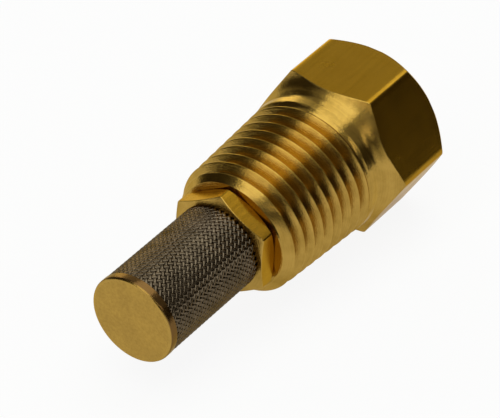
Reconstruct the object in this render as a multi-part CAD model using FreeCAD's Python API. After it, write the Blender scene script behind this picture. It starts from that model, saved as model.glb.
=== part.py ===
"""Oil burner nozzle with a taper pipe thread, a hexagon head and a gauze strainer.

Millimetres. +X runs along the nozzle's axis towards the spray end and X = 0 is the inlet end of
the threaded shank. A flat of the hexagon faces down (-Z) and two of its corners point along Y.
The helical pipe thread is plain ring grooves at its pitch, and the fine weave of the gauze is a
plain grid of openings.
"""
import FreeCAD
import Part
import math
import os

# ---- driving dimensions ----------------------------------------------------------------------
HEX_AF = 15.875               # head, 5/8 in across flats
HEX_X = 16.13                 # where the head's rear corners begin
HEX_CORNER_LENGTH = 6.5       # length of the head along a corner
FRONT_X = 23.9                # spray face

PIPE_TAPER = 0.109            # on diameter
THREAD_INLET_D = 13.6         # over the crests, at the inlet end
THREAD_PITCH = 25.4 / 18.0
THREAD_DEPTH = 1.0
THREAD_END_X = 13.51          # end of the plain band that closes the thread
THREAD_BAND_LENGTH = 0.74
THREAD_RUNOUT_LENGTH = 0.84   # last, shallow groove ahead of the band
INLET_BEVEL = 1.0

NECK_R = 7.0                  # clearance neck between the thread and the head
NECK_LENGTH = 1.1
FLARE_R = 7.45                # small end of the flare behind the head
FLARE_BREAK_LENGTH = 0.67     # the flare turns steeper this far ahead of the corners
FLARE_BREAK_RISE = 0.04       # and this far above the flats

INLET_BORE_R = 4.6            # takes the strainer's spigot
INLET_BORE_DEPTH = 5.4
MAIN_BORE_R = 4.1             # takes the retainer screw and the orifice disc
SPRAY_HOLE_R = 3.2
SPRAY_RECESS_R = 5.2
SPRAY_RECESS_DEPTH = 1.2
LIP = 0.7                     # wall that the orifice disc seats against

DISC_THICKNESS = 3.0
DISC_NOSE_R = 2.9
DISC_NOSE_LENGTH = 0.8
ORIFICE_R = 0.15
ORIFICE_LENGTH = 0.35
SEAT_R = 2.5                  # wide end of the 45 degree cone inside the disc
SWIRL_TIP_R = 0.9             # flat tip of the distributor

SWIRL_BODY_LENGTH = 1.8
SWIRL_BOSS_R = 1.5
SWIRL_BOSS_LENGTH = 1.4
SLOT_COUNT = 4
SLOT_WIDTH = 0.45
SLOT_DEPTH = 0.45

SCREW_THREAD_LENGTH = 5.2
SCREW_NECK_R = 3.2
SCREW_NECK_LENGTH = 2.8
SCREW_HOLE_R = 1.4
SCREW_PORT_R = 0.75
DRIVER_SLOT_WIDTH = 1.2
DRIVER_SLOT_DEPTH = 1.4

PLUG_AF = 10.0                # strainer plug, across flats
PLUG_HEX_LENGTH = 1.75
PLUG_RIM_LENGTH = 0.35        # round rim ahead of the plug's hexagon
PLUG_SPIGOT_LENGTH = 4.8
PLUG_RELIEF_R = 4.2
PLUG_RELIEF_LENGTH = 0.7
PLUG_BORE_R = 2.2
PLUG_GAUZE_LENGTH = 2.4       # spigot inside the gauze

GAUZE_OUTER_R = 4.53
GAUZE_WALL = 0.38
GAUZE_LENGTH = 12.45
MESH_AROUND = 12              # openings of the plain grid around the gauze
MESH_ALONG = 3                # and along it, between the two spigots
MESH_WIDTH = 0.8
MESH_SHARE = 0.7              # open share of each step along the gauze
SEAM_WIDTH = 1.1              # lap of the rolled gauze
SEAM_HEIGHT = 0.12
SEAM_ANGLE = 158.0            # degrees from +Y towards +Z

CAP_R = 4.56
CAP_THICKNESS = 0.9
CAP_EDGE = 0.3
CAP_SPIGOT_LENGTH = 1.5
CAP_HOLLOW_R = 3.2

# ---- clearances ------------------------------------------------------------------------------
THREAD_FIT = 0.03             # screw in the main bore, disc in the main bore
SPIGOT_FIT = 0.08             # strainer spigot in the inlet bore
GAUZE_FIT = 0.02              # spigots inside the gauze

# ---- derived places --------------------------------------------------------------------------
HEX_CORNER_R = HEX_AF / math.sqrt(3.0)
HEX_FLAT_R = HEX_AF / 2.0
HEX_CORNER_END_X = HEX_X + HEX_CORNER_LENGTH
BAND_X = THREAD_END_X - THREAD_BAND_LENGTH
LAST_CREST_X = BAND_X - THREAD_RUNOUT_LENGTH
PLUG_CORNER_R = PLUG_AF / math.sqrt(3.0)
DISC_FRONT_X = FRONT_X - SPRAY_RECESS_DEPTH - LIP
DISC_BACK_X = DISC_FRONT_X - DISC_THICKNESS
ORIFICE_X = DISC_BACK_X + SEAT_R - ORIFICE_R
SWIRL_BOSS_X = DISC_BACK_X - SWIRL_BODY_LENGTH
SCREW_FRONT_X = SWIRL_BOSS_X - SWIRL_BOSS_LENGTH
SCREW_NECK_X = SCREW_FRONT_X - SCREW_NECK_LENGTH
SCREW_BACK_X = SCREW_NECK_X - SCREW_THREAD_LENGTH
GAUZE_FRONT_X = -PLUG_HEX_LENGTH - PLUG_RIM_LENGTH
GAUZE_BACK_X = GAUZE_FRONT_X - GAUZE_LENGTH
GAUZE_INNER_R = GAUZE_OUTER_R - GAUZE_WALL
CAP_FACE_X = GAUZE_BACK_X - CAP_THICKNESS


def thread_radius(x):
    """Radius over the crests of the taper thread at x."""
    return THREAD_INLET_D / 2.0 + x * PIPE_TAPER / 2.0


def turned_from(points):
    """Solid of revolution about X from the corners of its profile."""
    vectors = [FreeCAD.Vector(x, 0, r) for x, r in points]
    face = Part.Face(Part.makePolygon(vectors + [vectors[0]]))
    return face.revolve(FreeCAD.Vector(0, 0, 0), FreeCAD.Vector(1, 0, 0), 360)


def rod(x0, x1, radius):
    """Plain cylinder on the axis."""
    return Part.makeCylinder(radius, x1 - x0, FreeCAD.Vector(x0, 0, 0), FreeCAD.Vector(1, 0, 0))


def hexagon(x0, x1, across_flats, first_corner):
    """Hexagonal prism on the axis, its first corner at an angle in degrees from +Y."""
    radius = across_flats / math.sqrt(3.0)
    corners = []
    for step in range(7):
        angle = math.radians(first_corner + 60.0 * step)
        corners.append(FreeCAD.Vector(x0, radius * math.cos(angle), radius * math.sin(angle)))
    face = Part.Face(Part.makePolygon(corners))
    return face.extrude(FreeCAD.Vector(x1 - x0, 0, 0))


def turn(shape, angle):
    """The same shape turned about the axis."""
    copy = shape.copy()
    copy.rotate(FreeCAD.Vector(0, 0, 0), FreeCAD.Vector(1, 0, 0), angle)
    return copy


def thread_outline():
    """Bevelled inlet end and V grooves, from the inlet face to the plain band."""
    crests = 1 + int((LAST_CREST_X - INLET_BEVEL) / THREAD_PITCH)
    flank = 2.0 * THREAD_DEPTH / THREAD_PITCH
    end_r = thread_radius(0) - INLET_BEVEL
    grooves = []
    for step in reversed(range(crests)):
        crest_x = LAST_CREST_X - step * THREAD_PITCH
        root_x = crest_x - THREAD_PITCH / 2.0
        grooves.append((root_x, thread_radius(root_x) - THREAD_DEPTH))
        grooves.append((crest_x, thread_radius(crest_x)))
    first_x, first_r = grooves[0]
    bevel_x = (first_r + first_x * flank - end_r) / (1.0 + flank)
    runout_x = (LAST_CREST_X + BAND_X) / 2.0
    runout_r = thread_radius(runout_x) - THREAD_DEPTH * THREAD_RUNOUT_LENGTH / THREAD_PITCH
    return [(0, end_r), (bevel_x, end_r + bevel_x)] + grooves + [(runout_x, runout_r)]


def body_turning():
    """Everything that the lathe leaves outside, before the flats are cut."""
    neck_x = THREAD_END_X + 0.15
    flare_x = neck_x + NECK_LENGTH
    corner_r = HEX_CORNER_R + 0.05
    return turned_from([(0, 0)] + thread_outline() + [
        (BAND_X, thread_radius(BAND_X)),
        (THREAD_END_X, thread_radius(THREAD_END_X)),
        (neck_x, NECK_R),
        (flare_x, NECK_R),
        (flare_x + 0.1, FLARE_R),
        (HEX_X - FLARE_BREAK_LENGTH, HEX_FLAT_R + FLARE_BREAK_RISE),
        (HEX_X, corner_r),
        (HEX_CORNER_END_X, corner_r),
        (FRONT_X, corner_r - (FRONT_X - HEX_CORNER_END_X)),
        (FRONT_X, 0),
    ])


def body_bores():
    """Inlet bore, main bore, spray hole and the countersunk spray recess in one cutter."""
    recess_x = FRONT_X - SPRAY_RECESS_DEPTH
    return turned_from([
        (-1.0, 0),
        (-1.0, INLET_BORE_R),
        (INLET_BORE_DEPTH, INLET_BORE_R),
        (INLET_BORE_DEPTH, MAIN_BORE_R),
        (DISC_FRONT_X, MAIN_BORE_R),
        (DISC_FRONT_X, SPRAY_HOLE_R),
        (recess_x, SPRAY_HOLE_R),
        (FRONT_X, SPRAY_RECESS_R),
        (FRONT_X + 1.0, SPRAY_RECESS_R),
        (FRONT_X + 1.0, 0),
    ])


def nozzle_body():
    """Brass body: taper shank, clearance neck, flared shoulder and hexagon head."""
    shank = rod(-1.0, HEX_X - 1.0, HEX_CORNER_R + 1.0)
    flats = hexagon(HEX_X - 1.0, FRONT_X + 1.0, HEX_AF, 0)
    return body_turning().common(shank.fuse(flats)).cut(body_bores()).removeSplitter()


def orifice_disc():
    """Steel disc with the conical seat, the spray orifice and its flared exit."""
    outer_r = MAIN_BORE_R - THREAD_FIT
    nose_x = DISC_FRONT_X + DISC_NOSE_LENGTH
    exit_x = ORIFICE_X + ORIFICE_LENGTH
    return turned_from([
        (DISC_BACK_X, SEAT_R),
        (DISC_BACK_X, outer_r),
        (DISC_FRONT_X, outer_r),
        (DISC_FRONT_X, DISC_NOSE_R),
        (nose_x, DISC_NOSE_R - 0.4),
        (nose_x, ORIFICE_R + nose_x - exit_x),
        (exit_x, ORIFICE_R),
        (ORIFICE_X, ORIFICE_R),
    ])


def swirl_slot():
    """One tangential slot, sunk into the cone along its 45 degree side."""
    length = 2.0 * SEAT_R
    slot = Part.makeBox(length, SLOT_WIDTH, 2.0 * SLOT_DEPTH)
    slot.translate(FreeCAD.Vector(-length / 2.0, SWIRL_TIP_R - SLOT_WIDTH, -SLOT_DEPTH))
    slot.rotate(FreeCAD.Vector(0, 0, 0), FreeCAD.Vector(0, 1, 0), 45)
    middle_r = (SEAT_R + SWIRL_TIP_R) / 2.0
    middle_x = DISC_BACK_X + (SEAT_R - SWIRL_TIP_R) / 2.0
    slot.translate(FreeCAD.Vector(middle_x, 0, middle_r))
    return slot


def swirl_distributor():
    """Steel cone that seats in the disc and feeds the swirl chamber through its slots."""
    tip_x = DISC_BACK_X + SEAT_R - SWIRL_TIP_R
    cone = turned_from([
        (SCREW_FRONT_X, 0),
        (SCREW_FRONT_X, SWIRL_BOSS_R - 0.3),
        (SCREW_FRONT_X + 0.3, SWIRL_BOSS_R),
        (SWIRL_BOSS_X, SWIRL_BOSS_R),
        (SWIRL_BOSS_X, SEAT_R),
        (DISC_BACK_X, SEAT_R),
        (tip_x, SWIRL_TIP_R),
        (tip_x, 0),
    ])
    for step in range(SLOT_COUNT):
        cone = cone.cut(turn(swirl_slot(), 360.0 / SLOT_COUNT * step))
    return cone


def retainer_screw():
    """Brass screw that holds the distributor on its seat, cross-drilled, with a driver slot."""
    outer_r = MAIN_BORE_R - THREAD_FIT
    screw = turned_from([
        (SCREW_BACK_X, 0),
        (SCREW_BACK_X, outer_r - 0.4),
        (SCREW_BACK_X + 0.4, outer_r),
        (SCREW_NECK_X, outer_r),
        (SCREW_NECK_X, SCREW_NECK_R),
        (SCREW_FRONT_X, SCREW_NECK_R),
        (SCREW_FRONT_X, 0),
    ])
    port_x = SCREW_NECK_X + SCREW_NECK_LENGTH / 2.0
    screw = screw.cut(rod(SCREW_BACK_X - 1.0, port_x + 0.4, SCREW_HOLE_R))
    start = FreeCAD.Vector(port_x, 0, -SCREW_NECK_R - 1.0)
    port = Part.makeCylinder(SCREW_PORT_R, 2.0 * SCREW_NECK_R + 2.0, start, FreeCAD.Vector(0, 0, 1))
    slot = Part.makeBox(DRIVER_SLOT_DEPTH, DRIVER_SLOT_WIDTH, 2.0 * MAIN_BORE_R)
    slot.translate(FreeCAD.Vector(SCREW_BACK_X, -DRIVER_SLOT_WIDTH / 2.0, -MAIN_BORE_R))
    return screw.cut(port).cut(slot)


def strainer_plug():
    """Brass plug that screws into the inlet: hexagon, rear spigot and the gauze's spigot."""
    rim_r = PLUG_AF / 2.0 - 0.05
    hex_x = -PLUG_HEX_LENGTH
    spigot_r = INLET_BORE_R - SPIGOT_FIT
    chamfer = PLUG_CORNER_R - rim_r
    blank = turned_from([
        (GAUZE_FRONT_X, 0),
        (GAUZE_FRONT_X, rim_r),
        (hex_x, PLUG_CORNER_R),
        (-0.6 * chamfer, PLUG_CORNER_R),
        (0, rim_r),
        (0, 0),
    ])
    head = blank.common(hexagon(GAUZE_FRONT_X, 0, PLUG_AF, 30))
    rear = turned_from([
        (0, 0),
        (0, PLUG_RELIEF_R),
        (PLUG_RELIEF_LENGTH, PLUG_RELIEF_R),
        (PLUG_RELIEF_LENGTH, spigot_r),
        (PLUG_SPIGOT_LENGTH - 0.5, spigot_r),
        (PLUG_SPIGOT_LENGTH, spigot_r - 0.5),
        (PLUG_SPIGOT_LENGTH, 0),
    ])
    gauze_spigot = rod(GAUZE_FRONT_X - PLUG_GAUZE_LENGTH, GAUZE_FRONT_X, GAUZE_INNER_R - GAUZE_FIT)
    bore = rod(GAUZE_FRONT_X - PLUG_GAUZE_LENGTH - 1.0, PLUG_SPIGOT_LENGTH + 1.0, PLUG_BORE_R)
    return head.fuse(rear).fuse(gauze_spigot).cut(bore).removeSplitter()


def mesh_openings():
    """Plain grid of openings through the gauze between the two spigots, clear of its seam."""
    start_x = GAUZE_BACK_X + CAP_SPIGOT_LENGTH
    step_x = (GAUZE_FRONT_X - PLUG_GAUZE_LENGTH - start_x) / MESH_ALONG
    length = MESH_SHARE * step_x
    row = []
    for place in range(MESH_ALONG):
        opening = Part.makeBox(length, MESH_WIDTH, GAUZE_OUTER_R + 1.0)
        opening_x = start_x + place * step_x + (step_x - length) / 2.0
        opening.translate(FreeCAD.Vector(opening_x, -MESH_WIDTH / 2.0, 0))
        row.append(opening)
    step_angle = 360.0 / MESH_AROUND
    angles = [SEAM_ANGLE - 90.0 + (place + 0.5) * step_angle for place in range(MESH_AROUND)]
    return [turn(opening, angle) for opening in row for angle in angles]


def strainer_gauze():
    """Rolled tube of wire cloth with a lapped seam along one side."""
    wall = rod(GAUZE_BACK_X, GAUZE_FRONT_X, GAUZE_OUTER_R).cut(
        rod(GAUZE_BACK_X - 1.0, GAUZE_FRONT_X + 1.0, GAUZE_INNER_R))
    wall = wall.cut(mesh_openings())
    lap = rod(GAUZE_BACK_X, GAUZE_FRONT_X, GAUZE_OUTER_R + SEAM_HEIGHT).cut(
        rod(GAUZE_BACK_X - 1.0, GAUZE_FRONT_X + 1.0, GAUZE_OUTER_R - GAUZE_WALL / 2.0))
    sector = Part.makeBox(GAUZE_LENGTH, SEAM_WIDTH, GAUZE_OUTER_R + 1.0)
    sector.translate(FreeCAD.Vector(GAUZE_BACK_X, -SEAM_WIDTH / 2.0, 0))
    return wall.fuse(lap.common(turn(sector, SEAM_ANGLE - 90.0))).removeSplitter()


def strainer_cap():
    """Brass end cap: a flat disc with a broken edge and a hollow spigot inside the gauze."""
    return turned_from([
        (CAP_FACE_X, 0),
        (CAP_FACE_X, CAP_R - CAP_EDGE),
        (CAP_FACE_X + CAP_EDGE, CAP_R),
        (GAUZE_BACK_X, CAP_R),
        (GAUZE_BACK_X, GAUZE_INNER_R - GAUZE_FIT),
        (GAUZE_BACK_X + CAP_SPIGOT_LENGTH, GAUZE_INNER_R - GAUZE_FIT),
        (GAUZE_BACK_X + CAP_SPIGOT_LENGTH, CAP_HOLLOW_R),
        (GAUZE_BACK_X, CAP_HOLLOW_R),
        (GAUZE_BACK_X, 0),
    ])


PIECES = {
    "nozzle_body": nozzle_body,
    "orifice_disc": orifice_disc,
    "swirl_distributor": swirl_distributor,
    "retainer_screw": retainer_screw,
    "strainer_plug": strainer_plug,
    "strainer_gauze": strainer_gauze,
    "strainer_cap": strainer_cap,
}

os.makedirs("parts", exist_ok=True)
for name, make in PIECES.items():
    solid = make()
    print(name, "valid", solid.isValid(), "solids", len(solid.Solids), "volume", round(solid.Volume, 2))
    solid.exportStep("parts/" + name + ".step")
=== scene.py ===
"""Dresses the oil burner nozzle: threaded brass body, spray parts and the screw-in gauze strainer."""

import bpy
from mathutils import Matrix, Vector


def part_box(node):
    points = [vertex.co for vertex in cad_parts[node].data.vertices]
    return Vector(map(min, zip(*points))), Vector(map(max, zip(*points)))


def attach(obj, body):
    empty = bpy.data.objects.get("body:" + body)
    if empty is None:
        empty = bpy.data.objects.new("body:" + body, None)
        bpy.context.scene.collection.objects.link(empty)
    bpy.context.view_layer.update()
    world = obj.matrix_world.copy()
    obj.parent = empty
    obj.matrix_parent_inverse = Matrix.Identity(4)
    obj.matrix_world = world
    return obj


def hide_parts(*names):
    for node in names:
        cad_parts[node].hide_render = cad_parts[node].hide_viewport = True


bl_info = {
    "name": "Oil burner nozzle",
    "version": (1, 0, 0),
    "blender": (4, 5, 0),
    "location": "View3D > Sidebar > Nozzle",
    "description": "Builds the visible pieces of a brass oil burner nozzle on its solid model",
    "category": "Object",
}

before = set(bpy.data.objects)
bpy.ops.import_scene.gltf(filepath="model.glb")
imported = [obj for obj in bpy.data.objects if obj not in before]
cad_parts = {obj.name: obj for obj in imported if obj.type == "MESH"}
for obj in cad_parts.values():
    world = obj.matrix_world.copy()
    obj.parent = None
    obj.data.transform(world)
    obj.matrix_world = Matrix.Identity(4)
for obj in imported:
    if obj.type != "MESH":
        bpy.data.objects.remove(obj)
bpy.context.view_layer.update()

import math

import bmesh
import bpy
from mathutils import Matrix, Vector

MM = 0.001
TAU = 2.0 * math.pi
AROUND = 192                     # vertices around a turned surface
CORNER_STEP = math.radians(0.89)  # closer step on each side of a hexagon's corner
CORNER_BLUNT = 0.06 * MM         # taken off a hexagon's corners
GAUZE_SPIGOT = 4.05 * MM         # radius of the plug and of the cap inside the gauze
CRIMP = 0.05                     # rise of a wire over the ones it crosses, as a share of its width
LAP_LIFT = 0.12 * MM             # how far the outer layer of the lap stands out
TUCK_DEPTH = 0.2 * MM            # how far its inner layer is pressed in


# ---- places read from the solid model ---------------------------------------------------------
BODY_LOW, BODY_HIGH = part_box("nozzle_body")
DISC_LOW, DISC_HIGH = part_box("orifice_disc")
CONE_LOW, CONE_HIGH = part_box("swirl_distributor")
SCREW_LOW, SCREW_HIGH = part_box("retainer_screw")
PLUG_LOW, PLUG_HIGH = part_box("strainer_plug")
GAUZE_LOW, GAUZE_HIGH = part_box("strainer_gauze")
CAP_LOW, CAP_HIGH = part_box("strainer_cap")
HEAD_FLAT = BODY_HIGH[2]         # half the width across the head's flats
HEAD_CORNER = BODY_HIGH[1]
FRONT = BODY_HIGH[0]
CAP_RADIUS = CAP_HIGH[1]
GAUZE_RADIUS = GAUZE_HIGH[1]
PLUG_FLAT = PLUG_HIGH[1]
PLUG_CORNER = PLUG_HIGH[2]


# ---- sizes and colours a user may change -------------------------------------------------------
def length(name, description, default):
    """A length property in metres."""
    return bpy.props.FloatProperty(name=name, description=description, default=default, unit="LENGTH")


def colour(name, description, default):
    """A linear colour property."""
    return bpy.props.FloatVectorProperty(
        name=name, description=description, default=default, size=3, subtype="COLOR", min=0.0, max=1.0)


class NozzleThreadSizes(bpy.types.PropertyGroup):
    """Sizes of the pipe thread and of the shank's lathe work."""
    pitch: length("Pitch", "Distance from crest to crest, 18 to the inch", 25.4 / 18.0 * MM)
    inlet_radius: length("Inlet radius", "Radius over the crests at the inlet end", 6.8 * MM)
    end_radius: length("End face radius", "Radius of the flat ring at the inlet end", 5.8 * MM)
    shank_end: length("Shank end", "Where the taper stops and the neck starts", 13.51 * MM)
    runout: length("Runout", "Where the last groove fades out", 12.77 * MM)
    neck_radius: length("Neck radius", "Radius of the clearance neck", 7.0 * MM)
    neck_end: length("Neck end", "Where the neck meets the flare", 14.76 * MM)
    head_start: length("Head start", "Where the flare reaches the head's corners", 16.13 * MM)
    head_end: length("Head end", "Where the front chamfer starts on the corners", 22.63 * MM)
    taper: bpy.props.FloatProperty(name="Taper", description="Rise of the radius per length", default=0.0545)
    phase: bpy.props.FloatProperty(
        name="Phase", description="Turn of the thread's start", default=math.radians(132.0), unit="ROTATION")


class NozzleStrainerSizes(bpy.types.PropertyGroup):
    """Sizes of the strainer's wire cloth."""
    mesh_pitch: length("Mesh pitch", "Distance between wires, 60 to the inch", 25.4 / 60.0 * MM)
    wire: length("Wire", "Width of the pressed wire", 0.41 * MM)
    flatness: bpy.props.FloatProperty(
        name="Flatness", description="Thickness of the pressed wire as a share of its width", default=0.24)
    lap: length("Lap", "How far the cloth overlaps itself at the seam", 1.3 * MM)
    seam_angle: bpy.props.FloatProperty(
        name="Seam angle", description="Place of the seam round the axis", default=math.radians(158.0),
        unit="ROTATION")


class NozzleFinish(bpy.types.PropertyGroup):
    """Colours of the metals and of the stage."""
    brass: colour("Brass", "Turned brass", (0.455, 0.284, 0.063))
    brass_dark: colour("Dull brass", "Brass dulled by handling", (0.29, 0.168, 0.028))
    bar: colour("Drawn brass", "The hexagon's flats", (0.41, 0.22, 0.02))
    bar_dark: colour("Dull drawn brass", "Flats dulled by handling", (0.33, 0.17, 0.013))
    # Painted shade: a dark brown painted onto the cap's side wall
    cap_side_painted_shade: colour("Cap side", "Painted shade on the side wall of the cap", (0.15, 0.08, 0.025))
    wire: colour("Wire", "Wire of the gauze", (0.155, 0.119, 0.078))
    steel: colour("Steel", "Hardened steel of the spray parts", (0.58, 0.57, 0.55))
    floor: colour("Floor", "Pale floor", (0.86, 0.86, 0.86))
    lamp: bpy.props.FloatProperty(name="Lamps", description="Brightness of all the lamps", default=1.0)


def sizes():
    """The thread's sizes."""
    return bpy.context.scene.nozzle_thread


def strainer_sizes():
    """The strainer's sizes."""
    return bpy.context.scene.nozzle_strainer


def finish():
    """The colours."""
    return bpy.context.scene.nozzle_finish


# ---- node helpers -----------------------------------------------------------------------------
class Wiring:
    """Adds and links nodes in one tree."""

    def __init__(self, tree):
        self.tree = tree

    def node(self, kind, **settings):
        """A new node with its settings."""
        made = self.tree.nodes.new(kind)
        for key, value in settings.items():
            setattr(made, key, value)
        return made

    def feed(self, socket, value):
        """Sets a socket to a number or links it to an output."""
        if isinstance(value, bpy.types.NodeSocket):
            self.tree.links.new(value, socket)
        else:
            socket.default_value = value

    def math(self, operation, *values):
        """A Math node and its output."""
        made = self.node("ShaderNodeMath", operation=operation)
        for socket, value in zip(made.inputs, values):
            self.feed(socket, value)
        return made.outputs[0]

    def weighted(self, first, first_share, second, second_share):
        """The sum of two values, each times its share."""
        return self.math(
            "ADD", self.math("MULTIPLY", first, first_share), self.math("MULTIPLY", second, second_share))

    def from_axis(self, y, z):
        """The distance from the axis of a point at y and z."""
        return self.math("SQRT", self.weighted(y, y, z, z))

    def scale_clamped(self, value, low, high, to_low, to_high):
        """Maps a range onto another and clamps it."""
        made = self.node("ShaderNodeMapRange", clamp=True)
        for socket, number in zip(made.inputs, (value, low, high, to_low, to_high)):
            self.feed(socket, number)
        return made.outputs[0]


def new_group(name, inputs):
    """A geometry node tree with named inputs and one geometry output."""
    tree = bpy.data.node_groups.new(name, "GeometryNodeTree")
    for label, kind in inputs:
        tree.interface.new_socket(name=label, in_out="INPUT", socket_type=kind)
    tree.interface.new_socket(name="Geometry", in_out="OUTPUT", socket_type="NodeSocketGeometry")
    return tree, Wiring(tree), tree.nodes.new("NodeGroupInput"), tree.nodes.new("NodeGroupOutput")


def grown(name, tree, values):
    """Runs a geometry node tree once and returns its result as a plain mesh object."""
    holder = bpy.data.objects.new(name, bpy.data.meshes.new(name))
    bpy.context.scene.collection.objects.link(holder)
    modifier = holder.modifiers.new("grow", "NODES")
    modifier.node_group = tree
    for item in tree.interface.items_tree:
        if item.in_out == "INPUT" and item.name in values:
            modifier[item.identifier] = values[item.name]
    depsgraph = bpy.context.evaluated_depsgraph_get()
    mesh = bpy.data.meshes.new_from_object(holder.evaluated_get(depsgraph))
    holder.modifiers.remove(modifier)
    holder.data = mesh
    return holder


# ---- shape helpers ----------------------------------------------------------------------------
def angles(first_corner=None):
    """Even steps round the axis. Next to a hexagon's corners the steps close in, to round the edge."""
    steps = [TAU * k / AROUND for k in range(AROUND)]
    if first_corner is None:
        return steps
    for side in range(6):
        corner = round(AROUND * (first_corner / TAU + side / 6.0)) % AROUND
        centre = steps[corner]
        steps[(corner + 1) % AROUND] = centre + CORNER_STEP
        steps[corner - 1] = centre - CORNER_STEP
    return steps


def hexagon_radius(angle, flat, corner, first_corner):
    """Radius of a hexagon with slightly blunt corners in one direction."""
    from_flat = (angle - first_corner) % (TAU / 6.0) - TAU / 12.0
    return min(flat / math.cos(from_flat), corner - CORNER_BLUNT)


def ring(points, directions):
    """One ring of vertices, from a single (x, r) or one for each direction."""
    if isinstance(points, tuple):
        points = [points] * len(directions)
    return [Vector((x, r * math.cos(a), r * math.sin(a))) for (x, r), a in zip(points, directions)]


def linked(name, work):
    """A new mesh object in the scene from a bmesh, which is freed."""
    mesh = bpy.data.meshes.new(name)
    work.to_mesh(mesh)
    work.free()
    made = bpy.data.objects.new(name, mesh)
    bpy.context.scene.collection.objects.link(made)
    return made


def skin(name, rings, closed=False):
    """A mesh object whose faces join each ring to the next, and the last to the first if closed."""
    work = bmesh.new()
    made = [[work.verts.new(place) for place in row] for row in rings]
    pairs = list(zip(made, made[1:]))
    if closed:
        pairs.append((made[-1], made[0]))
    for low, high in pairs:
        for k in range(len(low)):
            corners = [low[k - 1], low[k], high[k], high[k - 1]]
            work.faces.new(corners)
    return linked(name, work)


def turned(name, outline):
    """A mesh object turned on the axis from (x, r) points, the last joined to the first."""
    directions = angles()
    return skin(name, [ring(point, directions) for point in outline], closed=True)


def joined(name, objects):
    """Several mesh objects as one."""
    work = bmesh.new()
    for part in objects:
        work.from_mesh(part.data)
        bpy.data.objects.remove(part)
    return linked(name, work)


def closed_and_shaded(piece, sharp=math.radians(28.0), weld=0.002 * MM):
    """Welds the seams, turns the faces outwards and keeps the edges crisp."""
    work = bmesh.new()
    work.from_mesh(piece.data)
    bmesh.ops.remove_doubles(work, verts=work.verts, dist=weld)
    bmesh.ops.dissolve_degenerate(work, edges=work.edges, dist=weld)
    bmesh.ops.recalc_face_normals(work, faces=work.faces)
    for face in work.faces:
        face.smooth = True
    for edge in work.edges:
        edge.smooth = len(edge.link_faces) == 2 and edge.calc_face_angle(0.0) < sharp
    work.to_mesh(piece.data)
    work.free()
    return piece


def paint(piece, *materials):
    """Gives a piece its materials."""
    piece.data.materials.clear()
    for material in materials:
        piece.data.materials.append(material)


def mark_flats(piece, low, high):
    """Gives the second material to the faces between two places that face away from the axis."""
    for face in piece.data.polygons:
        middle = face.center
        radial = Vector((0.0, middle.y, middle.z)).normalized()
        outside = abs(face.normal.x) < 0.05 and radial.dot(face.normal) > 0.5
        face.material_index = 1 if outside and low < middle.x < high else 0


def finished(piece, body, slot, *nodes):
    """Puts a piece on its body and in place of its solids."""
    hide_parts(*nodes)
    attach(piece, body)


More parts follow.
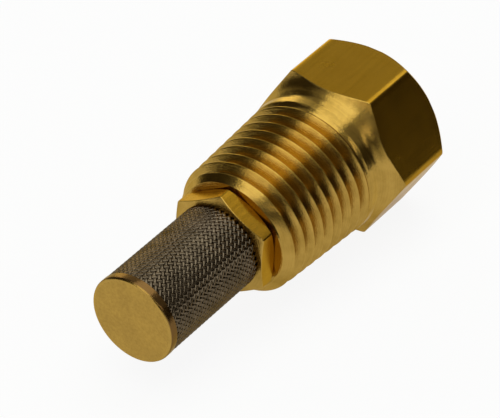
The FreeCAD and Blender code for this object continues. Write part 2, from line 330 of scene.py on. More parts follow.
# ---- thread -----------------------------------------------------------------------------------
def thread_tree():
    """A helical V thread on a taper, with a rounded lead-in and a groove that fades out at its end."""
    labels = ["Pitch", "Radius", "Taper", "Length", "End Radius", "Runout", "Phase"]
    inputs = [(label, "NodeSocketFloat") for label in labels]
    inputs += [("Turns", "NodeSocketInt"), ("Around", "NodeSocketInt"), ("Material", "NodeSocketMaterial")]
    tree, wire, given, result = new_group("Helical thread", inputs)
    size = given.outputs
    slices = 24
    crest_spacing, spacing_rise = 0.45, 2.2
    crest_round = 0.055
    root_depth, root_round = 0.875, 0.06
    fade_pitches = 0.7
    lead_in_round = 0.35 * MM
    along = wire.math("ADD", wire.math("MULTIPLY", size["Turns"], size["Around"]), 1)
    grid = wire.node("GeometryNodeMeshGrid")
    grid.inputs["Size X"].default_value = 1.0
    grid.inputs["Size Y"].default_value = 1.0
    wire.feed(grid.inputs["Vertices X"], along)
    grid.inputs["Vertices Y"].default_value = slices + 1
    where = wire.node("ShaderNodeSeparateXYZ")
    wire.feed(where.inputs[0], wire.node("GeometryNodeInputPosition").outputs[0])
    turn = wire.math("MULTIPLY", wire.math("ADD", where.outputs[0], 0.5), size["Turns"])
    even = where.outputs[1]
    square = wire.math("MULTIPLY", even, even)
    closer = wire.math("ADD", wire.math("MULTIPLY", square, spacing_rise), crest_spacing)
    across = wire.math("ADD", wire.math("MULTIPLY", even, closer), 0.5)
    raw = wire.math("MULTIPLY", wire.math("SUBTRACT", wire.math("ADD", turn, across), 1.0), size["Pitch"])
    x = wire.math("MINIMUM", wire.math("MAXIMUM", raw, 0.0), size["Length"])
    from_crest = wire.math("ABSOLUTE", wire.math("SUBTRACT", wire.math("MULTIPLY", across, 2.0), 1.0))
    sharp = wire.math("SMOOTH_MAX", wire.math("SUBTRACT", from_crest, crest_round), 0.0, crest_round)
    drop = wire.math("SMOOTH_MIN", sharp, root_depth, root_round)
    depth = wire.math("MULTIPLY", wire.math("MULTIPLY", drop, size["Pitch"]), math.sqrt(3.0) / 2.0)
    fade_start = wire.math("SUBTRACT", size["Runout"], wire.math("MULTIPLY", size["Pitch"], fade_pitches))
    fade = wire.scale_clamped(x, fade_start, size["Runout"], 1.0, 0.0)
    crest = wire.math("ADD", size["Radius"], wire.math("MULTIPLY", size["Taper"], x))
    cut = wire.math("SUBTRACT", crest, wire.math("MULTIPLY", depth, fade))
    lead_in = wire.math("ADD", size["End Radius"], x)
    eased = wire.math("SMOOTH_MIN", cut, lead_in, lead_in_round)
    radius = wire.math("MAXIMUM", eased, size["End Radius"])
    angle = wire.math("ADD", wire.math("MULTIPLY", turn, TAU), size["Phase"])
    place = wire.node("ShaderNodeCombineXYZ")
    wire.feed(place.inputs[0], x)
    wire.feed(place.inputs[1], wire.math("MULTIPLY", radius, wire.math("COSINE", angle)))
    wire.feed(place.inputs[2], wire.math("MULTIPLY", radius, wire.math("SINE", angle)))
    move = wire.node("GeometryNodeSetPosition")
    wire.feed(move.inputs["Geometry"], grid.outputs["Mesh"])
    wire.feed(move.inputs["Position"], place.outputs[0])
    realize = wire.node("GeometryNodeRealizeInstances")
    wire.feed(realize.inputs["Geometry"], move.outputs["Geometry"])
    coat = wire.node("GeometryNodeSetMaterial")
    wire.feed(coat.inputs["Geometry"], realize.outputs["Geometry"])
    wire.feed(coat.inputs["Material"], size["Material"])
    wire.feed(result.inputs["Geometry"], coat.outputs["Geometry"])
    return tree


# ---- body -------------------------------------------------------------------------------------
def arc_through(start, middle, end):
    """x as a function of r on the arc through three (x, r) points that bulges towards +X."""
    (ax, ar), (bx, br), (cx, cr) = start, middle, end
    d = 2.0 * (ax * (br - cr) + bx * (cr - ar) + cx * (ar - br))
    square_a, square_b, square_c = ax * ax + ar * ar, bx * bx + br * br, cx * cx + cr * cr
    centre_x = (square_a * (br - cr) + square_b * (cr - ar) + square_c * (ar - br)) / d
    centre_r = (square_a * (cx - bx) + square_b * (ax - cx) + square_c * (bx - ax)) / d
    radius = math.hypot(ax - centre_x, ar - centre_r)
    side = 1.0 if bx > centre_x else -1.0
    return lambda r: centre_x + side * math.sqrt(max(radius ** 2 - (r - centre_r) ** 2, 0.0))


def head_rings(directions):
    """Rings of the flared shoulder, the hexagon and its front chamfer."""
    size = sizes()
    corner = HEAD_CORNER + 0.05 * MM
    foot = size.neck_radius + 0.45 * MM
    break_length, break_rise = 0.67 * MM, 0.04 * MM
    flare = arc_through(
        (size.neck_end + 0.1 * MM, foot),
        (size.head_start - break_length, HEAD_FLAT + break_rise),
        (size.head_start, corner))
    radii = [hexagon_radius(a, HEAD_FLAT, HEAD_CORNER, 0.0) for a in directions]
    soft = 0.05 * MM
    rows = []
    for step in range(9):
        share = step / 8.0
        row = [foot + (h - soft - foot) * share for h in radii]
        rows.append(ring([(flare(r), r) for r in row], directions))
    for inset in (soft, 1.5 * soft):
        rows.append(ring([(flare(h) + inset, h) for h in radii], directions))
    chamfer = size.head_end + HEAD_CORNER
    for inset in (1.5 * soft, soft):
        rows.append(ring([(chamfer - h - inset, h) for h in radii], directions))
    rows.append(ring([(min(chamfer - h + soft, FRONT - 0.5 * soft), h - soft) for h in radii], directions))
    face = chamfer - FRONT
    edge = [min(face + soft, h - 1.2 * soft) for h in radii]
    rows.append(ring([(FRONT - max(r - face, 0.3 * soft), r) for r in edge], directions))
    rows.append(ring((FRONT, face - soft), directions))
    return rows


def body_rest():
    """Everything of the body but the thread: neck, head, spray recess and bores."""
    size = sizes()
    plain = angles()
    hexed = angles(first_corner=0.0)
    thread_end = size.inlet_radius + size.shank_end * size.taper
    recess = 5.2 * MM
    recess_floor = FRONT - 1.2 * MM
    lip = recess_floor - 0.7 * MM
    bore = 4.1 * MM
    inlet = 4.6 * MM
    inlet_depth = 5.4 * MM
    seam = [a + size.phase % (TAU / AROUND) for a in plain]
    rows = [ring((size.shank_end, thread_end), seam)]
    for x, r in (
            (size.shank_end + 0.05 * MM, thread_end - 0.04 * MM),
            (size.shank_end + 0.15 * MM, size.neck_radius + 0.04 * MM),
            (size.shank_end + 0.22 * MM, size.neck_radius),
            (size.neck_end - 0.7 * MM, size.neck_radius),
            (size.neck_end - 0.5 * MM, size.neck_radius + 0.02 * MM),
            (size.neck_end - 0.3 * MM, size.neck_radius + 0.09 * MM),
            (size.neck_end - 0.1 * MM, size.neck_radius + 0.23 * MM)):
        rows.append(ring((x, r), hexed))
    rows += head_rings(hexed)
    for x, r in (
            (FRONT, recess + 0.05 * MM),
            (FRONT - 0.04 * MM, recess - 0.02 * MM),
            (recess_floor + 0.05 * MM, 3.28 * MM),
            (recess_floor, 3.2 * MM),
            (lip, 3.2 * MM),
            (lip, bore),
            (inlet_depth, bore),
            (inlet_depth, inlet),
            (0.0, inlet)):
        rows.append(ring((x, r), plain))
    rows.append(ring((0.0, size.end_radius), seam))
    return skin("body_rest", rows)


class NOZZLE_OT_body(bpy.types.Operator):
    """Build the threaded brass body with its hexagon head."""
    bl_idname = "nozzle.body"
    bl_label = "Brass body"

    def execute(self, context):
        size = sizes()
        material = brass_turned()
        turns = math.ceil(size.shank_end / size.pitch) + 1
        thread = grown("pipe_thread", thread_tree(), {
            "Pitch": size.pitch, "Radius": size.inlet_radius, "Taper": size.taper,
            "Length": size.shank_end, "End Radius": size.end_radius, "Runout": size.runout,
            "Phase": size.phase, "Turns": turns, "Around": AROUND, "Material": material})
        body = closed_and_shaded(joined("threaded_body", [thread, body_rest()]))
        paint(body, material, brass_flats())
        mark_flats(body, size.neck_end, FRONT)
        finished(body, "nozzle", "body_brass", "nozzle_body")
        return {"FINISHED"}


# ---- spray parts ------------------------------------------------------------------------------
def dress(node, material):
    """Gives a solid that shows as it is its material."""
    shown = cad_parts[node]
    paint(shown, material)


class NOZZLE_OT_spray_parts(bpy.types.Operator):
    """Finish the orifice disc, the swirl distributor and the retainer screw."""
    bl_idname = "nozzle.spray_parts"
    bl_label = "Spray parts"

    def execute(self, context):
        dress("orifice_disc", lapped_steel())
        dress("swirl_distributor", lapped_steel())
        dress("retainer_screw", brass_turned())
        return {"FINISHED"}


# ---- strainer ---------------------------------------------------------------------------------
def plug_outline():
    """Rings of the strainer plug, from its bore inside the gauze round to its rear bore."""
    plain = angles()
    hexed = angles(first_corner=math.radians(30.0))
    soft = 0.04 * MM
    rim_x = GAUZE_HIGH[0]
    rim = PLUG_FLAT - 0.05 * MM
    hex_front = rim_x + 0.35 * MM
    chamfer = PLUG_CORNER - rim
    bore = 2.2 * MM
    radii = [hexagon_radius(a, PLUG_FLAT, PLUG_CORNER, math.radians(30.0)) for a in hexed]
    front = [rim_x + (hex_front - rim_x) * (h - rim) / chamfer for h in radii]
    rear = [-0.6 * (h - rim) for h in radii]
    eased = [h - soft if h > rim + soft else rim for h in radii]
    rear_thread = 4.52 * MM
    end = PLUG_HIGH[0]
    rows = [
        ring((PLUG_LOW[0], bore), plain),
        ring((PLUG_LOW[0], GAUZE_SPIGOT - soft), plain),
        ring((PLUG_LOW[0] + soft, GAUZE_SPIGOT), plain),
        ring((rim_x, GAUZE_SPIGOT), plain),
        ring((rim_x, rim - soft), plain),
        ring([(f - 0.02 * MM, r) for f, r in zip(front, eased)], hexed),
        ring([(f + soft, h) for f, h in zip(front, radii)], hexed),
        ring([(b - soft, h) for b, h in zip(rear, radii)], hexed),
        ring([(min(b + 0.02 * MM, 0.0), r) for b, r in zip(rear, eased)], hexed),
        ring((0.0, rim - soft), plain),
        ring((0.0, 4.2 * MM), plain),
        ring((0.7 * MM, 4.2 * MM), plain),
        ring((0.7 * MM, rear_thread), plain),
        ring((end - 0.5 * MM, rear_thread), plain),
        ring((end, rear_thread - 0.5 * MM), plain),
        ring((end, bore), plain),
    ]
    return rows


class NOZZLE_OT_plug(bpy.types.Operator):
    """Build the strainer plug with its small hexagon."""
    bl_idname = "nozzle.plug"
    bl_label = "Strainer plug"

    def execute(self, context):
        plug = closed_and_shaded(skin("strainer_hex_plug", plug_outline(), closed=True))
        paint(plug, brass_turned(), brass_flats())
        mark_flats(plug, GAUZE_HIGH[0], 0.0)
        finished(plug, "strainer", "plug_brass", "strainer_plug")
        return {"FINISHED"}


def gauze_tree():
    """One set of wires of a plain weave, laid on the bias, rolled into a tube and pressed flat."""
    labels = ["Pitch", "Wire", "Flatness", "Width", "Height", "Radius", "Start", "Seam", "Lap", "Lean"]
    inputs = [(label, "NodeSocketFloat") for label in labels]
    inputs += [("Count", "NodeSocketInt"), ("Points", "NodeSocketInt"), ("Material", "NodeSocketMaterial")]
    tree, wire, given, result = new_group("Rolled wire cloth", inputs)
    size = given.outputs
    half = math.sqrt(0.5)
    diagonal = wire.math("MULTIPLY", wire.math("ADD", size["Width"], size["Height"]), half)
    one = wire.node("GeometryNodeCurvePrimitiveLine", mode="POINTS")
    start = wire.node("ShaderNodeCombineXYZ")
    end = wire.node("ShaderNodeCombineXYZ")
    wire.feed(start.inputs[1], wire.math("MULTIPLY", diagonal, -1.0))
    wire.feed(end.inputs[1], diagonal)
    wire.feed(one.inputs["Start"], start.outputs[0])
    wire.feed(one.inputs["End"], end.outputs[0])
    dense = wire.node("GeometryNodeResampleCurve")
    wire.feed(dense.inputs["Curve"], one.outputs["Curve"])
    wire.feed(dense.inputs["Count"], size["Points"])
    row = wire.node("GeometryNodeMeshLine", mode="OFFSET")
    step = wire.node("ShaderNodeCombineXYZ")
    wire.feed(step.inputs[0], size["Pitch"])
    wire.feed(row.inputs["Count"], size["Count"])
    wire.feed(row.inputs["Offset"], step.outputs[0])
    place = wire.node("GeometryNodeInstanceOnPoints")
    wire.feed(place.inputs["Points"], row.outputs["Mesh"])
    wire.feed(place.inputs["Instance"], dense.outputs["Curve"])
    laid = wire.node("GeometryNodeRealizeInstances")
    wire.feed(laid.inputs["Geometry"], place.outputs["Instances"])
    flat = wire.node("ShaderNodeSeparateXYZ")
    wire.feed(flat.inputs[0], wire.node("GeometryNodeInputPosition").outputs[0])
    across, along = flat.outputs[0], flat.outputs[1]
    wave = wire.math("MULTIPLY", wire.math("DIVIDE", wire.math("ADD", across, along), size["Pitch"]), math.pi)
    rise = wire.math("MULTIPLY", wire.math("COSINE", wave), wire.math("MULTIPLY", size["Wire"], CRIMP))
    height = wire.math("MULTIPLY", rise, size["Lean"])
    sum_ = wire.math("MULTIPLY", wire.math("ADD", across, along), half)
    up = wire.math("MULTIPLY", wire.math("SUBTRACT", across, along), half)
    leaning = wire.math("GREATER_THAN", size["Lean"], 0.0)
    swapped = wire.math("SUBTRACT", size["Width"], sum_)
    round_ = wire.weighted(sum_, leaning, swapped, wire.math("SUBTRACT", 1.0, leaning))
    outside = wire.math("MAXIMUM",
                        wire.math("MAXIMUM", wire.math("LESS_THAN", round_, 0.0),
                                  wire.math("GREATER_THAN", round_, size["Width"])),
                        wire.math("MAXIMUM", wire.math("LESS_THAN", up, 0.0),
                                  wire.math("GREATER_THAN", up, size["Height"])))
    tuck_end = wire.math("SUBTRACT", size["Width"], size["Lap"])
    tuck_start = wire.math("SUBTRACT", tuck_end, wire.math("MULTIPLY", size["Lap"], 1.5))
    tuck = wire.scale_clamped(round_, tuck_start, tuck_end, 0.0, 1.0)
    lift = wire.scale_clamped(round_, size["Lap"], wire.math("MULTIPLY", size["Lap"], 2.0), 1.0, 0.0)
    shift = wire.weighted(lift, LAP_LIFT, tuck, -TUCK_DEPTH)
    radius = wire.math("ADD", wire.math("ADD", size["Radius"], height), shift)
    angle = wire.math("SUBTRACT", size["Seam"], wire.math("DIVIDE", round_, size["Radius"]))
    rolled = wire.node("ShaderNodeCombineXYZ")
    wire.feed(rolled.inputs[0], wire.math("ADD", up, size["Start"]))
    wire.feed(rolled.inputs[1], wire.math("MULTIPLY", radius, wire.math("COSINE", angle)))
    wire.feed(rolled.inputs[2], wire.math("MULTIPLY", radius, wire.math("SINE", angle)))
    keep = wire.node("GeometryNodeStoreNamedAttribute", data_type="FLOAT_VECTOR", domain="POINT")
    keep.inputs["Name"].default_value = "rolled"
    wire.feed(keep.inputs["Geometry"], laid.outputs["Geometry"])
    wire.feed(keep.inputs["Value"], rolled.outputs[0])
    trim = wire.node("GeometryNodeDeleteGeometry", domain="POINT")
    wire.feed(trim.inputs["Geometry"], keep.outputs["Geometry"])
    wire.feed(trim.inputs["Selection"], outside)
    stored = wire.node("GeometryNodeInputNamedAttribute", data_type="FLOAT_VECTOR")
    stored.inputs["Name"].default_value = "rolled"
    bend = wire.node("GeometryNodeSetPosition")
    wire.feed(bend.inputs["Geometry"], trim.outputs["Geometry"])
    wire.feed(bend.inputs["Position"], stored.outputs["Attribute"])
    section = wire.node("GeometryNodeCurvePrimitiveCircle")
    section.inputs["Resolution"].default_value = 6
    wire.feed(section.inputs["Radius"], wire.math("MULTIPLY", size["Wire"], 0.5))
    drawn = wire.node("GeometryNodeCurveToMesh")
    wire.feed(drawn.inputs["Curve"], bend.outputs["Geometry"])
    wire.feed(drawn.inputs["Profile Curve"], section.outputs["Curve"])
    drawn.inputs["Fill Caps"].default_value = True
    centre = wire.node("ShaderNodeSeparateXYZ")
    wire.feed(centre.inputs[0], stored.outputs["Attribute"])
    round_wire = wire.node("ShaderNodeSeparateXYZ")
    wire.feed(round_wire.inputs[0], wire.node("GeometryNodeInputPosition").outputs[0])
    middle, reach = (wire.from_axis(at.outputs[1], at.outputs[2]) for at in (centre, round_wire))
    proud = wire.math("MULTIPLY", wire.math("SUBTRACT", reach, middle), size["Flatness"])
    squash = wire.math("DIVIDE", wire.math("ADD", middle, proud), reach)
    pressed_place = wire.node("ShaderNodeCombineXYZ")
    wire.feed(pressed_place.inputs[0], round_wire.outputs[0])
    wire.feed(pressed_place.inputs[1], wire.math("MULTIPLY", round_wire.outputs[1], squash))
    wire.feed(pressed_place.inputs[2], wire.math("MULTIPLY", round_wire.outputs[2], squash))
    pressed = wire.node("GeometryNodeSetPosition")
    wire.feed(pressed.inputs["Geometry"], drawn.outputs["Mesh"])
    wire.feed(pressed.inputs["Position"], pressed_place.outputs[0])
    smooth = wire.node("GeometryNodeSetShadeSmooth")
    wire.feed(smooth.inputs["Geometry"], pressed.outputs["Geometry"])
    realize = wire.node("GeometryNodeRealizeInstances")
    wire.feed(realize.inputs["Geometry"], smooth.outputs["Geometry"])
    coat = wire.node("GeometryNodeSetMaterial")
    wire.feed(coat.inputs["Geometry"], realize.outputs["Geometry"])
    wire.feed(coat.inputs["Material"], size["Material"])
    wire.feed(result.inputs["Geometry"], coat.outputs["Geometry"])
    return tree


class NOZZLE_OT_gauze(bpy.types.Operator):
    """Weave the strainer's wire cloth and roll it with a lapped seam."""
    bl_idname = "nozzle.gauze"
    bl_label = "Strainer gauze"

    def execute(self, context):
        size = strainer_sizes()
        tree = gauze_tree()
        radius = GAUZE_RADIUS - (CRIMP + 0.5 * size.flatness) * size.wire
        repeat = math.sqrt(2.0) * size.mesh_pitch
        width = repeat * round((TAU * radius + size.lap) / repeat)
        lap = width - TAU * radius
        height = GAUZE_HIGH[0] - GAUZE_LOW[0]
        diagonal = (width + height) * math.sqrt(0.5)
        for lean, name in ((1.0, "gauze_warp"), (-1.0, "gauze_weft")):
            wires = grown(name, tree, {
                "Pitch": size.mesh_pitch, "Wire": size.wire, "Flatness": size.flatness,
                "Width": width, "Height": height,
                "Radius": radius, "Start": GAUZE_LOW[0], "Seam": size.seam_angle, "Lap": lap, "Lean": lean,
                "Count": math.ceil(diagonal / size.mesh_pitch) + 1,
                "Points": math.ceil(2.0 * diagonal / size.mesh_pitch) * 4, "Material": gauze_wire()})
            finished(wires, "strainer", "gauze_wire", "strainer_gauze")
        return {"FINISHED"}


class NOZZLE_OT_cap(bpy.types.Operator):
    """Turn the strainer's end cap."""
    bl_idname = "nozzle.cap"
    bl_label = "Strainer cap"

    def execute(self, context):
        low, high = CAP_LOW[0], CAP_HIGH[0]
        rim = GAUZE_LOW[0]
        edge = 0.3 * MM
        hollow = 3.2 * MM
        centre = 0.02 * MM
        outline = [
            (low + 0.01 * MM, centre), (low + 0.008 * MM, 1.5 * MM), (low, CAP_RADIUS - edge - 0.15 * MM)]
        for step in range(7):
            turn = math.radians(15.0 * step)
            outline.append((low + edge * (1.0 - math.cos(turn)), CAP_RADIUS - edge * (1.0 - math.sin(turn))))
        outline += [
            (rim - 0.03 * MM, CAP_RADIUS), (rim, CAP_RADIUS - 0.03 * MM), (rim, GAUZE_SPIGOT),
            (high, GAUZE_SPIGOT), (high, hollow), (rim, hollow), (rim, centre)]
        cap = closed_and_shaded(turned("end_cap", outline))
        paint(cap, brass_cap())
        finished(cap, "strainer", "cap_brass", "strainer_cap")
        return {"FINISHED"}


# ---- finishes ---------------------------------------------------------------------------------
def new_material(name):
    """A material with one Principled shader."""
    made = bpy.data.materials.new(name)
    made.use_nodes = True
    wire = Wiring(made.node_tree)
    shader = made.node_tree.nodes["Principled BSDF"]
    return made, wire, shader


def object_place(wire, scale=(1.0, 1.0, 1.0)):
    """Object coordinates, stretched."""
    where = wire.node("ShaderNodeTexCoord")
    mapping = wire.node("ShaderNodeMapping")
    mapping.inputs["Scale"].default_value = scale
    wire.feed(mapping.inputs["Vector"], where.outputs["Object"])
    return mapping.outputs["Vector"]


def axis_parts(wire):
    """The x, y and z of a point and its distance from the axis."""
    where = wire.node("ShaderNodeTexCoord")
    parts = wire.node("ShaderNodeSeparateXYZ")
    wire.feed(parts.inputs[0], where.outputs["Object"])
    x, y, z = parts.outputs
    return x, y, z, wire.from_axis(y, z)


def polar_place(wire, around, along, outwards):
    """Coordinates that run round the axis, along it and away from it, for lathe marks."""
    x, y, z, radius = axis_parts(wire)
    safe = wire.math("MAXIMUM", radius, 1e-6)
    place = wire.node("ShaderNodeCombineXYZ")
    wire.feed(place.inputs[0], wire.weighted(x, along, radius, outwards))
    wire.feed(place.inputs[1], wire.math("MULTIPLY", wire.math("DIVIDE", y, safe), around))
    wire.feed(place.inputs[2], wire.math("MULTIPLY", wire.math("DIVIDE", z, safe), around))
    return place.outputs[0]


def noise(wire, place, scale, detail):
    """A noise texture's value."""
    made = wire.node("ShaderNodeTexNoise")
    made.inputs["Scale"].default_value = scale
    made.inputs["Detail"].default_value = detail
    made.inputs["Roughness"].default_value = 0.6
    wire.feed(made.inputs["Vector"], place)
    return made.outputs[0]


def blend_colours(wire, share, low, high):
    """A colour between two."""
    made = wire.node("ShaderNodeMix", data_type="RGBA")
    wire.feed(made.inputs[0], share)
    made.inputs[6].default_value = (*low, 1.0)
    made.inputs[7].default_value = (*high, 1.0)
    return made.outputs[2]


def bumped(wire, shader, height, distance):
    """Relief on the shader's normal."""
    bump = wire.node("ShaderNodeBump")
    bump.inputs["Strength"].default_value = 1.0
    bump.inputs["Distance"].default_value = distance
    wire.feed(bump.inputs["Height"], height)
    wire.feed(shader.inputs["Normal"], bump.outputs[0])


def metal(shader, edge=(0.9, 0.76, 0.5)):
    """Makes a shader metal. Where it is seen along its surface, it takes the edge's tint."""
    shader.inputs["Metallic"].default_value = 1.0
    shader.inputs["Specular Tint"].default_value = (*edge, 1.0)


def brass_turned():
    """Brass off the lathe: fine rings, faint chatter and dull patches."""
    name = "turned brass"
    if name in bpy.data.materials:
        return bpy.data.materials[name]
    made, wire, shader = new_material(name)
    metal(shader)
    colours = finish()
    rings = noise(wire, polar_place(wire, 1.5, 9000.0, 9000.0), 1.0, 2.0)
    patches = noise(wire, object_place(wire), 420.0, 4.0)
    specks = noise(wire, object_place(wire), 2600.0, 2.0)
    dull = wire.scale_clamped(wire.weighted(patches, 0.7, rings, 0.3), 0.42, 0.68, 0.0, 0.75)
    wire.feed(shader.inputs["Base Color"], blend_colours(wire, dull, colours.brass, colours.brass_dark))
    wire.feed(shader.inputs["Roughness"], wire.scale_clamped(patches, 0.3, 0.7, 0.13, 0.22))
    chatter = noise(wire, polar_place(wire, 28.0, 12000.0, 12000.0), 1.0, 2.0)
    fine = wire.weighted(rings, 0.5, specks, 0.5)
    bumped(wire, shader, wire.math("ADD", fine, chatter), 0.014 * MM)
    return made


def brass_flats():
    """Drawn bar on the hexagon's flats: long faint grain, matte, with small pits."""
    name = "drawn brass"
    if name in bpy.data.materials:
        return bpy.data.materials[name]
    made, wire, shader = new_material(name)
    metal(shader)
    colours = finish()
    grain = noise(wire, object_place(wire, (120.0, 2600.0, 2600.0)), 1.0, 3.0)
    patches = noise(wire, object_place(wire), 350.0, 5.0)
    pits = noise(wire, object_place(wire), 3200.0, 2.0)
    dull = wire.scale_clamped(wire.weighted(patches, 0.6, grain, 0.4), 0.36, 0.66, 0.0, 1.0)
    wire.feed(shader.inputs["Base Color"], blend_colours(wire, dull, colours.bar, colours.bar_dark))
    wire.feed(shader.inputs["Roughness"], wire.scale_clamped(patches, 0.3, 0.7, 0.2, 0.28))
    bumped(wire, shader, wire.math("ADD", grain, wire.math("MULTIPLY", pits, 0.7)), 0.006 * MM)
    return made


def brass_cap():
    """Matte brass of the end cap: pale, finely faced, with a soft speckle and painted shade on its side wall.
    """
    name = "matte brass"
    if name in bpy.data.materials:
        return bpy.data.materials[name]
    made, wire, shader = new_material(name)
    metal(shader)
    colours = finish()
    rings = noise(wire, polar_place(wire, 1.0, 3000.0, 6000.0), 1.0, 2.0)
    patches = noise(wire, object_place(wire), 500.0, 5.0)
    specks = noise(wire, object_place(wire), 3600.0, 2.0)
    dull = wire.scale_clamped(wire.weighted(patches, 0.6, specks, 0.4), 0.35, 0.65, 0.0, 0.25)
    reach = axis_parts(wire)[3]
    # Painted shade: the cap's side wall is darkened to the cap side colour
    painted_shade = wire.scale_clamped(reach, CAP_RADIUS - 0.12 * MM, CAP_RADIUS - 0.04 * MM, 0.0, 1.0)
    wire.feed(shader.inputs["Base Color"], blend_colours(
        wire, wire.math("MAXIMUM", dull, painted_shade), colours.brass, colours.cap_side_painted_shade))
    rim = wire.scale_clamped(reach, CAP_RADIUS - 0.36 * MM, CAP_RADIUS - 0.26 * MM, 1.0, 0.5)
    wire.feed(shader.inputs["Roughness"],
              wire.math("MULTIPLY", wire.scale_clamped(specks, 0.3, 0.7, 0.36, 0.5), rim))
    bumped(wire, shader, wire.math("ADD", wire.math("MULTIPLY", rings, 0.5), specks), 0.012 * MM)
    return made


def gauze_wire():
    """Dull grey-brown wire, varying a little from wire to wire."""
    name = "gauze wire"
    if name in bpy.data.materials:
        return bpy.data.materials[name]
    made, wire, shader = new_material(name)
    metal(shader, (0.5, 0.42, 0.32))
    colour_low = tuple(0.55 * part for part in finish().wire)
    patches = noise(wire, object_place(wire), 700.0, 4.0)
    fine = noise(wire, object_place(wire), 5000.0, 2.0)
    share = wire.scale_clamped(wire.weighted(patches, 0.7, fine, 0.3), 0.36, 0.64, 0.0, 1.0)
    wire.feed(shader.inputs["Base Color"], blend_colours(wire, share, colour_low, finish().wire))
    wire.feed(shader.inputs["Roughness"], wire.scale_clamped(fine, 0.3, 0.7, 0.17, 0.27))
    return made


def lapped_steel():
    """Fine ground steel of the disc and the distributor."""
    name = "lapped steel"
    if name in bpy.data.materials:
        return bpy.data.materials[name]
    made, wire, shader = new_material(name)
    metal(shader, (0.9, 0.9, 0.9))
    rings = noise(wire, polar_place(wire, 1.0, 2500.0, 9000.0), 1.0, 2.0)
    steel = finish().steel
    shaded = tuple(0.75 * part for part in steel)
    wire.feed(shader.inputs["Base Color"], blend_colours(wire, rings, steel, shaded))
    wire.feed(shader.inputs["Roughness"], wire.scale_clamped(rings, 0.3, 0.7, 0.16, 0.3))
    bumped(wire, shader, rings, 0.006 * MM)
    return made


# ---- stage ------------------------------------------------------------------------------------
CAMERA_AZIMUTH = -54.81          # degrees, 0 looks along +Y
CAMERA_ELEVATION = 38.45
CAMERA_ROLL = 0.85
CAMERA_PLACE = Vector((-179.0, -128.35, 178.07)) * MM
CAMERA_LENS = 216.0
CAMERA_SENSOR = 36.0             # width of its film, in the lens's millimetres


def camera_axes(azimuth, elevation, roll):
    """Right, up and back of a camera at a compass angle, a height angle and a tilt in degrees."""
    a, e, tilt = (math.radians(value) for value in (azimuth, elevation, roll))
    back = Vector((math.sin(a) * math.cos(e), -math.cos(a) * math.cos(e), math.sin(e)))
    right = Vector((math.cos(a), math.sin(a), 0.0))
    up = back.cross(right)
    return right * math.cos(tilt) + up * math.sin(tilt), up * math.cos(tilt) - right * math.sin(tilt), back


def place_camera():
    """The camera at a three-quarter view from the strainer's end."""
    right, up, back = camera_axes(CAMERA_AZIMUTH, CAMERA_ELEVATION, CAMERA_ROLL)
    camera = bpy.data.objects.new("camera", bpy.data.cameras.new("camera"))
    camera.data.lens = CAMERA_LENS
    camera.data.sensor_width = CAMERA_SENSOR
    camera.data.clip_start = 1.0 * MM
    turned_to = Matrix((right, up, back)).transposed().to_4x4()
    camera.matrix_world = Matrix.Translation(CAMERA_PLACE) @ turned_to
    bpy.context.scene.collection.objects.link(camera)
    bpy.context.scene.camera = camera


LAMPS = (
    # name, compass angle from +X towards +Y, height angle, width and height in degrees, radiance, tint
    ("ceiling light", 180.0, 87.5, 46.0, 104.0, 1.6, (0.96, 1.0, 0.96)),
    ("window", 170.5, 20.0, 24.0, 30.0, 0.85, (1.0, 0.93, 0.82)),
    ("back strip", 72.0, 24.0, 26.0, 14.0, 1.5, (1.0, 0.97, 0.92)),
    ("back window", 45.0, 10.0, 28.0, 24.0, 1.5, (1.0, 0.97, 0.94)),
    ("near strip", 246.0, 35.0, 56.0, 5.0, 1.8, (1.0, 0.95, 0.88)),
)
CARDS = (
    # name, from and to compass angle, lower and upper height angle in degrees
    ("front card", 183.5, 208.0, -3.0, 17.0),
    ("front near card", 208.0, 265.0, 12.0, 25.0),
    ("near card", 265.0, 345.0, -3.0, 25.0),
    ("back card", 88.0, 157.0, 1.0, 46.0),
)
CARD_DISTANCE = 0.15
CARD_STEPS = 16                  # faces along a card
CARD_COLOUR = (0.05, 0.042, 0.03)
LAMP_DISTANCE = 0.4
FLOOR_RADIUS = 0.26
FLOOR_SEEN = 0.9                 # share of plain white in the floor that the camera sees
FLOOR_MIRRORED = 0.62            # and in the floor that the metal mirrors
WALL_COLOUR = (0.52, 0.53, 0.52)
CEILING_COLOUR = (0.22, 0.215, 0.2)
BACKDROP_COLOUR = (0.98, 0.98, 0.97)


def area_lamp(name, compass, elevation, width, height, radiance, tint):
    """A rectangular lamp in one direction from the nozzle, facing it, with a given brightness."""
    turn, lift = math.radians(compass), math.radians(elevation)
    direction = Vector((math.cos(turn) * math.cos(lift), math.sin(turn) * math.cos(lift), math.sin(lift)))
    data = bpy.data.lights.new(name, "AREA")
    data.shape = "RECTANGLE"
    data.size = 2.0 * LAMP_DISTANCE * math.tan(math.radians(width / 2.0))
    data.size_y = 2.0 * LAMP_DISTANCE * math.tan(math.radians(height / 2.0))
    data.energy = radiance * math.pi * data.size * data.size_y
    data.color = tint
    lamp = bpy.data.objects.new(name, data)
    lamp.location = direction * LAMP_DISTANCE
    lamp.rotation_euler = direction.to_track_quat("Z", "Y").to_euler()
    bpy.context.scene.collection.objects.link(lamp)


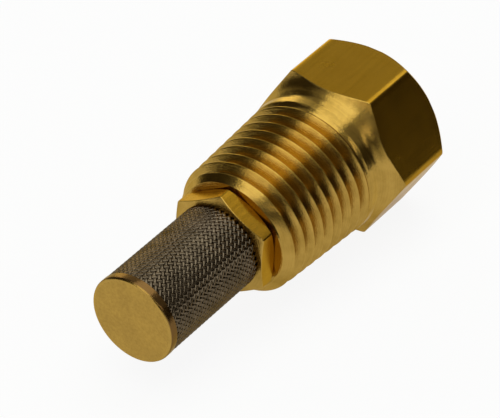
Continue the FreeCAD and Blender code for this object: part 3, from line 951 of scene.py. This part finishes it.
def lay_floor():
    """A pale round floor under the head's lower flat, close to white where the camera sees it."""
    floor = turned_disc("floor", FLOOR_RADIUS, BODY_LOW[2] - 0.02 * MM)
    made, wire, shader = new_material("pale floor")
    shader.inputs["Base Color"].default_value = (*finish().floor, 1.0)
    shader.inputs["Roughness"].default_value = 0.9
    shader.inputs["Specular IOR Level"].default_value = 0.1
    glow = wire.node("ShaderNodeEmission")
    glow.inputs["Color"].default_value = (1.0, 1.0, 1.0, 1.0)
    path = wire.node("ShaderNodeLightPath")
    mirrored = wire.math("MAXIMUM", path.outputs["Is Glossy Ray"], path.outputs["Is Transmission Ray"])
    direct = wire.math("MULTIPLY", path.outputs["Is Camera Ray"], FLOOR_SEEN)
    seen = wire.math("MAXIMUM", direct, wire.math("MULTIPLY", mirrored, FLOOR_MIRRORED))
    mix = wire.node("ShaderNodeMixShader")
    wire.feed(mix.inputs[0], seen)
    wire.feed(mix.inputs[1], shader.outputs[0])
    wire.feed(mix.inputs[2], glow.outputs[0])
    out = made.node_tree.nodes["Material Output"]
    wire.feed(out.inputs["Surface"], mix.outputs[0])
    paint(floor, made)


def turned_disc(name, radius, height):
    """A flat disc facing up."""
    work = bmesh.new()
    bmesh.ops.create_circle(work, cap_ends=True, segments=96, radius=radius)
    bmesh.ops.translate(work, verts=work.verts, vec=(0.0, 0.0, height))
    return linked(name, work)


def studio_card(name, start, end, low, high):
    """A dark card that stands round the nozzle, for the dark bands in polished metal."""
    work = bmesh.new()
    rows = []
    for step in range(CARD_STEPS + 1):
        compass = math.radians(start + (end - start) * step / CARD_STEPS)
        row = []
        for height in (low, high):
            slope = math.tan(math.radians(height))
            row.append(work.verts.new(CARD_DISTANCE * Vector((math.cos(compass), math.sin(compass), slope))))
        rows.append(row)
    for one, two in zip(rows, rows[1:]):
        work.faces.new((one[0], one[1], two[1], two[0]))
    card = linked(name, work)
    card.visible_camera = card.visible_shadow = card.visible_diffuse = False
    made, wire, shader = new_material(name)
    shader.inputs["Base Color"].default_value = (*CARD_COLOUR, 1.0)
    shader.inputs["Roughness"].default_value = 1.0
    shader.inputs["Specular IOR Level"].default_value = 0.0
    paint(card, made)


def set_world():
    """Pale walls under a dimmer ceiling that comes lower on the near side, and a near-white backdrop."""
    world = bpy.data.worlds.new("studio")
    world.use_nodes = True
    bpy.context.scene.world = world
    wire = Wiring(world.node_tree)
    where = wire.node("ShaderNodeTexCoord")
    parts = wire.node("ShaderNodeSeparateXYZ")
    wire.feed(parts.inputs[0], where.outputs["Generated"])
    near = wire.scale_clamped(parts.outputs[1], -0.2, 0.35, 0.32, 0.0)
    high = wire.scale_clamped(wire.math("ADD", parts.outputs[2], near), 0.64, 0.78, 0.0, 1.0)
    shade = blend_colours(wire, high, WALL_COLOUR, CEILING_COLOUR)
    path = wire.node("ShaderNodeLightPath")
    seen = wire.node("ShaderNodeMix", data_type="RGBA")
    wire.feed(seen.inputs[0], path.outputs["Is Camera Ray"])
    wire.feed(seen.inputs[6], shade)
    seen.inputs[7].default_value = (*BACKDROP_COLOUR, 1.0)
    sky = world.node_tree.nodes["Background"]
    wire.feed(sky.inputs["Color"], seen.outputs[2])
    sky.inputs["Strength"].default_value = 1.0


class NOZZLE_OT_stage(bpy.types.Operator):
    """Set the camera, the lamps, the floor and the studio walls."""
    bl_idname = "nozzle.stage"
    bl_label = "Stage"

    def execute(self, context):
        place_camera()
        for name, compass, elevation, width, height, radiance, tint in LAMPS:
            area_lamp(name, compass, elevation, width, height, radiance * finish().lamp, tint)
        for card in CARDS:
            studio_card(*card)
        lay_floor()
        set_world()
        context.scene.view_settings.view_transform = "Standard"
        return {"FINISHED"}


# ---- panel and registration -------------------------------------------------------------------
class NOZZLE_PT_panel(bpy.types.Panel):
    """Lists the sizes, the colours and the steps."""
    bl_idname = "NOZZLE_PT_panel"
    bl_label = "Oil burner nozzle"
    bl_space_type = "VIEW_3D"
    bl_region_type = "UI"
    bl_category = "Nozzle"

    def draw(self, context):
        layout = self.layout
        for group in (sizes(), strainer_sizes(), finish()):
            box = layout.box()
            for name in type(group).__annotations__:
                box.prop(group, name)
        for step in STEPS:
            layout.operator(step.bl_idname)


STEPS = (
    NOZZLE_OT_body, NOZZLE_OT_spray_parts, NOZZLE_OT_plug, NOZZLE_OT_gauze, NOZZLE_OT_cap, NOZZLE_OT_stage)
GROUPS = {
    "nozzle_thread": NozzleThreadSizes,
    "nozzle_strainer": NozzleStrainerSizes,
    "nozzle_finish": NozzleFinish,
}


def register():
    """Adds the classes and the scene's property groups."""
    for kind in (*GROUPS.values(), *STEPS, NOZZLE_PT_panel):
        bpy.utils.register_class(kind)
    for name, kind in GROUPS.items():
        setattr(bpy.types.Scene, name, bpy.props.PointerProperty(type=kind))


def unregister():
    """Removes what register added."""
    for name in GROUPS:
        delattr(bpy.types.Scene, name)
    for kind in reversed((*GROUPS.values(), *STEPS, NOZZLE_PT_panel)):
        bpy.utils.unregister_class(kind)


def main():
    """Builds every piece in order."""
    register()
    bpy.ops.nozzle.body()
    bpy.ops.nozzle.spray_parts()
    bpy.ops.nozzle.plug()
    bpy.ops.nozzle.gauze()
    bpy.ops.nozzle.cap()
    bpy.ops.nozzle.stage()


if __name__ == "__main__":
    main()
